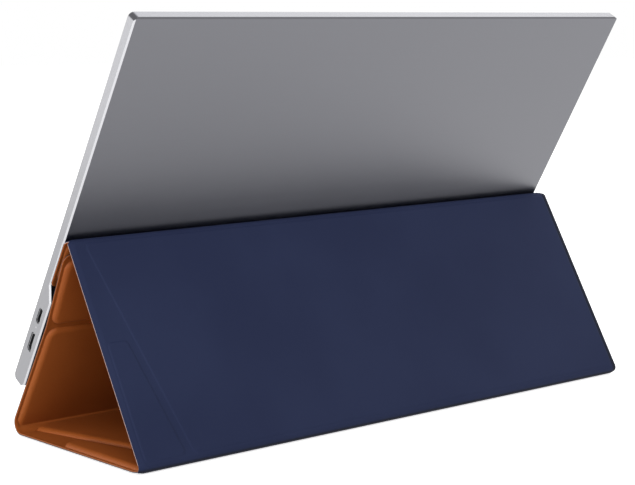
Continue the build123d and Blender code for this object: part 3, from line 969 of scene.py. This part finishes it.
class Cover:
    """The folded strip: five panels and four folds, in three layers."""

    def __init__(self, frame: dict[str, Any]) -> None:
        """Reads the panels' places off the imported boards.
        """
        self.nodes = frame["nodes"]
        self.panels = [
            self._panel("flap", SIZES.board, SIZES.flap_corner, 0.0),
            self._panel("front", SIZES.board, 0.0, 0.0),
            self._panel("bottom", SIZES.board, 0.0, SIZES.bottom_corner),
            self._panel("slope", SIZES.board, SIZES.bottom_corner, SIZES.ridge_corner),
            self._panel("attach", SIZES.attach_board, SIZES.ridge_corner, SIZES.attach_corner),
        ]
        self.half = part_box("slope_skin")[1].x / MM
        self._place_panels()
        pairs = zip(FOLD_RADII.items(), self.panels[:-1], self.panels[1:])
        self.folds = [
            Fold(name, before, after, radius, low_corner=name == "back_fold")
            for (name, radius), before, after in pairs
        ]
        for fold in self.folds:
            self._set_fold(fold)
        for panel in self.panels:
            panel.pads = self._pads(panel, 0.0)
            panel.swells = self._pads(panel, SIZES.pad_reach)

    @staticmethod
    def _panel(name: str, thickness: float, start_corner: float, end_corner: float) -> Panel:
        """A panel with its body and its board's node, which are named after it."""
        return Panel(name, f"cover_{name}", f"{name}_board", thickness, start_corner, end_corner)

    def _place_panels(self) -> None:
        """Finds each panel's outer face, and the corners where neighbouring faces meet."""
        walls = [self._vertices(panel.node) for panel in self.panels[1:4]]
        middle = np.mean([points.mean(axis=0)[1:] for points in walls], axis=0)
        lines = []
        for panel in self.panels:
            mesh = self.nodes[panel.node].data
            normal = np.array(max(mesh.polygons, key=lambda p: p.area).normal[1:])
            points = self._vertices(panel.node)[:, 1:]
            if normal @ (middle - points.mean(axis=0)) > 0:
                normal = -normal
            panel.heading = np.array([-normal[1], normal[0]])
            lines.append((normal, float((points @ normal).max()) + SIZES.skin))
        corners = []
        for (first, reach), (second, other) in zip(lines[:-1], lines[1:]):
            corners.append(np.linalg.solve(np.array([first, second]), np.array([reach, other])))
        for k, panel in enumerate(self.panels):
            panel.half = self.half
            skin = self._vertices(f"{panel.name}_skin")[:, 1:]
            if k == 0:
                along = (skin - corners[0]) @ panel.heading
                panel.start = corners[0] + float(along.min()) * panel.heading
            else:
                panel.start = corners[k - 1]
            if k < len(corners):
                panel.length = float((corners[k] - panel.start) @ panel.heading)
            else:
                panel.length = float(((skin - panel.start) @ panel.heading).max())

    def _vertices(self, node: str) -> Array:
        """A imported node's vertices.

        Args:
            node: the node's name.

        Returns:
            Its vertices in millimetres, one row each.
        """
        mesh = self.nodes[node].data
        flat = np.zeros(len(mesh.vertices) * 3, np.float32)
        mesh.vertices.foreach_get("co", flat)
        return flat.reshape(-1, 3).astype(float) / MM

    @staticmethod
    def _set_fold(fold: Fold) -> None:
        """Works out a fold's turn, and how much it takes off both panels' flat runs.

        A bend of radius r that turns by t begins r tan(t / 2) before the corner.

        Args:
            fold: the fold, whose panels have their headings.
        """
        first, second = fold.before.heading, fold.after.heading
        cross = float(first[0] * second[1] - first[1] * second[0])
        fold.turn = math.atan2(cross, float(first @ second))
        fold.run = fold.radius * math.tan(fold.turn / 2)
        fold.before.far = fold.after.near = fold.run
        inset = fold.run - abs(fold.radius * math.sin(fold.turn / 2))
        fold.before.far_inset = fold.after.near_inset = inset
        if fold.low_corner:
            fold.before.far_inset = fold.run
            fold.after.near_inset = fold.run - fold.after.start_corner

    def _pads(self, panel: Panel, grow: float) -> list[Pad]:
        """The outlines of a panel's boards, or of their swells.

        Args:
            panel: the panel.
            grow: how far each outline is moved out, but at the diagonal fold.

        Returns:
            One outline per board.
        """
        if panel.name not in ("bottom", "slope"):
            along = (self._vertices(panel.node)[:, 1:] - panel.start) @ panel.heading
            across = self.half - SIZES.margin + grow
            low, high = float(along.min()) - grow, float(along.max()) + grow
            if panel.name == "front":
                high += SIZES.front_puff
            corners = [(-across, low), (across, low), (across, high), (-across, high)]
            return [Pad(np.array(corners), SIZES.board_corner + grow)]
        back = panel.far if panel.name == "bottom" else panel.near
        tip = panel.near if panel.name == "bottom" else panel.far
        first = back + SIZES.setback - grow
        last = panel.length - tip - SIZES.setback + grow
        reach = SIZES.gusset_reach
        if grow > 0 and panel.name == "bottom":
            last += SIZES.front_puff
            reach += SIZES.gusset_puff
        main = self._slanted(panel, first, last, -1, grow)
        gusset = self._slanted(panel, first, reach + grow, 1, grow)
        return [Pad(main, SIZES.board_corner + grow), Pad(gusset, SIZES.gusset_corner + grow)]

    def _slanted(self, panel: Panel, near: float, far: float, side: int, grow: float) -> Array:
        """Corners of a board with one edge along the diagonal fold.

        Args:
            panel: the long panel.
            near: its distance from the back fold's corner.
            far: the end away from that corner.
            side: -1 for the large board, 1 for the small one at the edge.
            grow: how far the straight edge is moved out.

        Returns:
            Four corners as (x, distance along the panel).
        """
        turned = panel.name == "bottom"
        length = max(p.length for p in self.panels if p.name == "bottom")
        rows = [panel.length - d if turned else d for d in (near, far)]
        slant = []
        rise = SIZES.diagonal_at_tip - SIZES.diagonal_at_back
        for distance in (near, far):
            inset = SIZES.diagonal_at_back + rise * (distance / length)
            slant.append(self.half - inset + side * SIZES.diagonal_gap / 2)
        edge = [side * (self.half - SIZES.margin + grow)] * 2
        left, right = (edge, slant) if side < 0 else (slant, edge)
        first, last = rows
        return np.array([(left[0], first), (right[0], first), (right[1], last), (left[1], last)])

    @staticmethod
    def _solid(x: Array, low: Array, high: Array) -> tuple[Array, list[list[int]]]:
        """A slab from positions across and the side-view points of its two faces."""
        faces = [np.concatenate([x[..., None], side], axis=-1) for side in (low, high)]
        return between(faces[0], faces[1])

    @staticmethod
    def _stand_in(piece: bpy.types.Object, kind: LayerKind, panel: Panel) -> None:
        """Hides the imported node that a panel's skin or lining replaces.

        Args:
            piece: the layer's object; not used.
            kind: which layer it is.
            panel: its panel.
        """
        if kind is LayerKind.SKIN:
            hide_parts(f"{panel.name}_skin")
        if kind is LayerKind.LINING:
            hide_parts(f"{panel.name}_lining")

    def build(self) -> None:
        """Makes every layer of every panel and fold."""
        looks = {
            LayerKind.SKIN: ("skin", Finish.NAVY, "navy_leatherette"),
            LayerKind.CORE: ("edge", Finish.CUT_EDGE, "navy_leatherette"),
            LayerKind.LINING: ("lining", Finish.TAN, "tan_lining"),
        }
        for kind, (word, finish, slot) in looks.items():
            for panel in self.panels:
                look = self._edge_look(kind, panel.name, finish)
                piece = self._panel_layer(panel, kind, f"{panel.name}_cover_{word}", look)
                self._stand_in(piece, kind, panel)
                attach(piece, panel.body)
            for fold in self.folds:
                look = self._edge_look(kind, fold.name, finish)
                piece = self._fold_layer(fold, kind, f"{fold.name}_cover_{word}", look)

    @staticmethod
    def _edge_look(kind: LayerKind, place: str, finish: Finish) -> Finish:
        """The finish, but tan for a cut edge that isn't on the slope or the ridge."""
        tan = kind is LayerKind.CORE and place not in ("slope", "ridge")
        return Finish.TAN_EDGE if tan else finish

    def _panel_layer(
        self, panel: Panel, kind: LayerKind, name: str, finish: Finish
    ) -> bpy.types.Object:
        """One layer of a flat panel: x across by s along, between two depths.

        Args:
            panel: the panel.
            kind: which layer.
            name: the piece's name.
            finish: its finish.

        Returns:
            The piece.
        """
        low, high, low_shift, high_shift = kind.value
        s_row = panel.rows()
        x = panel.columns(s_row)
        s = np.broadcast_to(s_row[:, None], x.shape)
        half = np.broadcast_to(panel.half_width(s_row)[:, None], x.shape)
        depths = [
            getattr(panel, low)(x, s, half) + low_shift,
            getattr(panel, high)(x, s, half) + high_shift,
        ]
        if kind is LayerKind.LINING:
            depths[0] = np.maximum(depths[0], depths[1] - SIZES.lining)
        points, faces = self._solid(x, panel.point(s, depths[0]), panel.point(s, depths[1]))
        LOG.info("%s: %d faces", name, len(faces))
        return as_mesh(name, points, faces, finish)

    def _fold_layer(
        self, fold: Fold, kind: LayerKind, name: str, finish: Finish
    ) -> bpy.types.Object:
        """One layer round a fold: x across by angle, an arc from one panel to the next.

        Args:
            fold: the fold.
            kind: which layer.
            name: the piece's name.
            finish: its finish.

        Returns:
            The piece.
        """
        low, high, low_shift, high_shift = kind.value
        steps = max(4, math.ceil(abs(math.degrees(fold.turn)) / FOLD_STEP_DEGREES))
        angle_row = np.linspace(0.0, fold.turn, steps + 1)
        width = fold.half_width(angle_row)
        ahead = np.full(angle_row.shape, fold.before.length - fold.run)
        x = fold.before.columns(ahead) / fold.before.half_width(ahead)[:, None] * width[:, None]
        angle = np.broadcast_to(angle_row[:, None], x.shape)
        depths = [
            fold.mixed(low, x, angle) + low_shift,
            fold.mixed(high, x, angle) + high_shift,
        ]
        points, faces = self._solid(x, fold.point(angle, depths[0]), fold.point(angle, depths[1]))
        piece = as_mesh(name, points, faces, finish)
        ends = fold.point(np.array([0.0, fold.turn]), np.full(2, float(np.median(depths))))
        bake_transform(piece)
        LOG.info("%s: turns %.1f degrees", name, math.degrees(fold.turn))
        return piece


# ---------------------------------------------------------------- monitor


@dataclass(frozen=True)
class MonitorDress:
    """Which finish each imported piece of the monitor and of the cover's inside wears."""

    metal: tuple[str, ...] = ("rear_housing", "upper_housing")
    keys: tuple[str, ...] = ("power_button", "menu_rocker")
    black: tuple[str, ...] = ("earphone_jack", "key_switches")
    circuits: tuple[str, ...] = ("main_board", "key_board")
    steel: tuple[str, ...] = ("board_screws", "shield_can")
    sockets: tuple[str, ...] = ("usb_port", "video_port")

    def finishes(self) -> dict[str, Finish]:
        """Which node wears which finish.

        Returns:
            Finishes by node name, without boards, magnets and leathers.
        """
        groups = {
            Finish.HOUSING: self.metal,
            Finish.KEY: self.keys,
            Finish.BLACK: self.black,
            Finish.CIRCUIT: self.circuits,
            Finish.STEEL: self.steel,
            Finish.SOCKET: self.sockets,
            Finish.BEZEL: ("front_bezel",),
            Finish.DISPLAY: ("display_panel",),
            Finish.BACKLIGHT: ("backlight_unit",),
            Finish.LIGHT: ("status_light",),
            Finish.FILM: ("display_cable",),
        }
        return {node: finish for finish, nodes in groups.items() for node in nodes}

    def dress(self, nodes: dict[str, bpy.types.Object]) -> None:
        """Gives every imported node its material.

        Args:
            nodes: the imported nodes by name.
        """
        chosen = self.finishes()
        for name, node in nodes.items():
            if name.endswith("_magnets"):
                finish = Finish.MAGNET
            elif name in chosen:
                finish = chosen[name]
            elif name.endswith("_skin"):
                finish = Finish.NAVY
            elif name.endswith("_lining"):
                finish = Finish.TAN
            else:
                finish = Finish.BOARD
            node.data.materials.clear()
            node.data.materials.append(finish.material())


# ---------------------------------------------------------------- studio


@dataclass(frozen=True)
class Lamp:
    """A soft round lamp aimed at the object's middle. Places are in metres."""

    name: str
    place: Colour
    size: float
    power: float
    colour: Colour = (1.0, 1.0, 1.0)
    aim: Colour = (0.0, 0.0, 0.11)

    def light(self) -> None:
        """Adds the lamp, turned towards the aim point."""
        data = bpy.data.lights.new(self.name, "AREA")
        data.shape = "DISK"
        data.size = self.size
        data.energy = self.power
        data.color = self.colour
        lamp = bpy.data.objects.new(self.name, data)
        lamp.location = self.place
        towards = Vector(self.aim) - lamp.location
        lamp.rotation_euler = towards.to_track_quat("-Z", "Y").to_euler()
        bpy.context.scene.collection.objects.link(lamp)


@dataclass(frozen=True)
class Studio:
    """Pale floor, soft lamps, plain surroundings and the camera."""

    lamps: tuple[Lamp, ...] = (
        Lamp("key", (0.9, 1.8, 1.6), 1.6, 28.0),
        Lamp("side", (1.5, -1.5, 0.4), 1.5, 9.0),
        Lamp("rim", (2.3, 0.5, 0.5), 0.7, 30.0),
        Lamp("fill", (-1.7, 1.4, 1.1), 1.8, 5.0),
        Lamp("top", (-1.2, -0.6, 1.8), 1.8, 17.0),
    )
    surroundings: float = 0.5
    floor_glow: float = 0.64  # what the floor adds to itself, as seen and in reflections
    floor_radius: float = 14.0
    floor_rings: int = 8
    floor_sides: int = 72
    lens: float = 93.95
    shift: tuple[float, float] = (0.0359, -0.0628)
    place: Colour = (634.4, 711.9, 211.9)  # of the camera, in millimetres
    yaw: float = -130.229
    pitch: float = -5.649
    roll: float = -0.637

    def build(self) -> None:
        """Makes the floor, the world, the lamps and the camera."""
        self._world()
        self._floor()
        for lamp in self.lamps:
            lamp.light()
        self._camera()
        bpy.context.scene.view_settings.view_transform = "Standard"

    def _world(self) -> None:
        """Even surroundings that the camera and reflections see as white."""
        world = bpy.data.worlds.new("studio")
        bpy.context.scene.world = world
        world.use_nodes = True
        tree = world.node_tree
        background = tree.nodes["Background"]
        path = tree.nodes.new("ShaderNodeLightPath")
        seen = path.outputs["Is Camera Ray"]
        for other in ("Is Glossy Ray", "Is Transmission Ray"):
            either = tree.nodes.new("ShaderNodeMath")
            either.operation = "MAXIMUM"
            tree.links.new(seen, either.inputs[0])
            tree.links.new(path.outputs[other], either.inputs[1])
            seen = either.outputs[0]
        mix = tree.nodes.new("ShaderNodeMapRange")
        tree.links.new(seen, mix.inputs["Value"])
        mix.inputs["To Min"].default_value = self.surroundings
        mix.inputs["To Max"].default_value = 1.0
        tree.links.new(mix.outputs[0], background.inputs["Strength"])
        background.inputs["Color"].default_value = (1.0, 1.0, 1.0, 1.0)

    def _floor(self) -> None:
        """A round floor, white to the camera where no shadow falls.

        Its points are r (cos a, sin a), on rings whose radii grow as squares.
        """
        radii = self.floor_radius * np.linspace(0.0, 1.0, self.floor_rings + 1)[1:] ** 2
        angles = np.linspace(0.0, 2 * math.pi, self.floor_sides + 1)[:-1]
        rings = radii[:, None, None] * np.stack([np.cos(angles), np.sin(angles)], axis=1)[None]
        points = np.concatenate([rings, np.zeros((*rings.shape[:2], 1))], axis=2).reshape(-1, 3)
        index = np.arange(radii.size * angles.size).reshape(radii.size, angles.size)
        after = np.roll(index, -1, axis=1)
        quads = np.stack([index[:-1], index[1:], after[1:], after[:-1]], axis=-1).reshape(-1, 4)
        mesh = bpy.data.meshes.new("floor")
        mesh.from_pydata(points.tolist(), [], [*quads.tolist(), index[0].tolist()])
        graph = Graph("floor")
        path = graph.node("ShaderNodeLightPath", {}, {})
        seen = Expr(graph, path.outputs["Is Camera Ray"])
        for other in ("Is Glossy Ray", "Is Transmission Ray"):
            seen = graph.maths("MAXIMUM", seen, Expr(graph, path.outputs[other]))
        grain = graph.noise(30.0, 2.0)
        graph.shade(
            Base_Color=graph.blend(grain, (0.80, 0.80, 0.80), (0.82, 0.82, 0.82)),
            Roughness=0.9,
            Emission_Color=(1.0, 1.0, 1.0),
            Emission_Strength=seen * self.floor_glow,
        )
        mesh.materials.append(graph.material)
        floor = bpy.data.objects.new("floor", mesh)
        bpy.context.scene.collection.objects.link(floor)

    def _camera(self) -> None:
        """The camera, turned by yaw, pitch and roll."""
        yaw, pitch, roll = (math.radians(a) for a in (self.yaw, self.pitch, self.roll))
        flat = Vector((math.cos(yaw), math.sin(yaw), 0.0))
        view = flat * math.cos(pitch) + Vector((0.0, 0.0, math.sin(pitch)))
        right = view.cross(Vector((0.0, 0.0, 1.0))).normalized()
        up = right.cross(view)
        across = right * math.cos(roll) + up * math.sin(roll)
        upright = up * math.cos(roll) - right * math.sin(roll)
        data = bpy.data.cameras.new("camera")
        data.lens = self.lens
        data.sensor_width = 36.0
        data.shift_x, data.shift_y = self.shift
        data.clip_start, data.clip_end = 0.05, 60.0
        camera = bpy.data.objects.new("camera", data)
        turn = Matrix((across, upright, -view)).transposed()
        camera.matrix_world = Matrix.Translation(Vector(self.place) * MM) @ turn.to_4x4()
        bpy.context.scene.collection.objects.link(camera)
        bpy.context.scene.camera = camera


# ---------------------------------------------------------------- whole object


def main() -> None:
    """Loads the frame, builds the cover, dresses the monitor and lights the scene."""
    logging.basicConfig(level=logging.INFO, format="%(name)s: %(message)s")
    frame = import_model()
    Studio().build()
    Cover(frame).build()
    MonitorDress().dress(frame["nodes"])
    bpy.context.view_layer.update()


if __name__ == "__main__":
    main()
